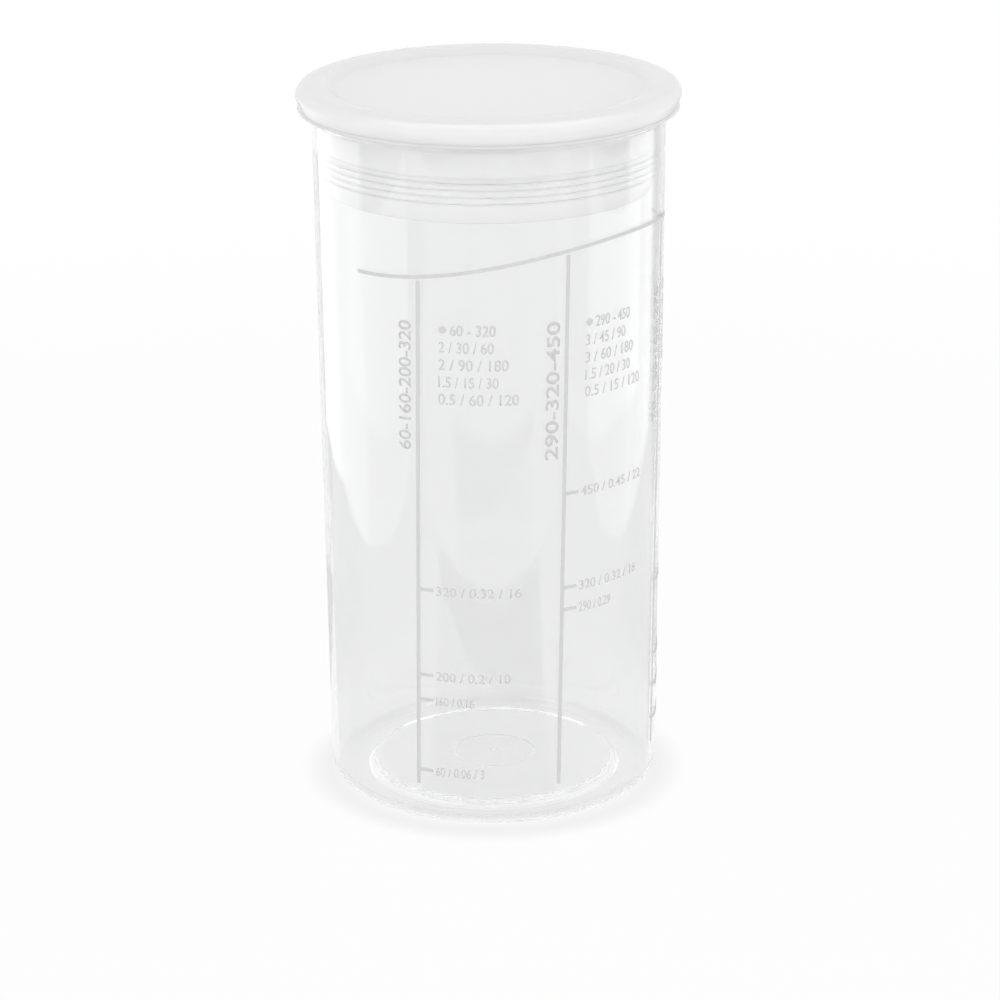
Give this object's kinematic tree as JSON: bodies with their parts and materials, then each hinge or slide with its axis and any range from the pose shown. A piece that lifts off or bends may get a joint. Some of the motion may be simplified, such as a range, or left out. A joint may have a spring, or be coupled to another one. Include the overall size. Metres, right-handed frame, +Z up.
{
  "type": "dressing shaker bottle",
  "caption": "Tall clear tapered shaker beaker with printed fill scales and a milky press-in lid whose hollow plug carries sealing lips.",
  "frame": {"origin": "on the ground under the beaker's axis, at the bottom centre of the whole part", "axes": "+Z up along the axis of the beaker and the lid; the middle of the printed scales faces -Y; +X to the right"},
  "size_m": [0.096, 0.096, 0.184],
  "materials": {
    "clear_plastic": "clear, smooth and glossy moulded plastic",
    "milky_plastic": "soft milky-white plastic with a satin sheen",
    "scale_ink": "flat pale grey screen-printing ink"
  },
  "bodies": {
    "beaker": {"beaker": "clear_plastic", "print_sweep_line": "scale_ink", "print_scale_left": "scale_ink", "print_scale_middle": "scale_ink", "print_scale_right": "scale_ink"},
    "lid": {"lid": "milky_plastic"}
  },
  "joints": [
    {"name": "lid_lift", "type": "slide", "parent": "beaker", "child": "lid", "axis": [0, 0, 1], "range_m": [0, 0.045]}
  ]
}
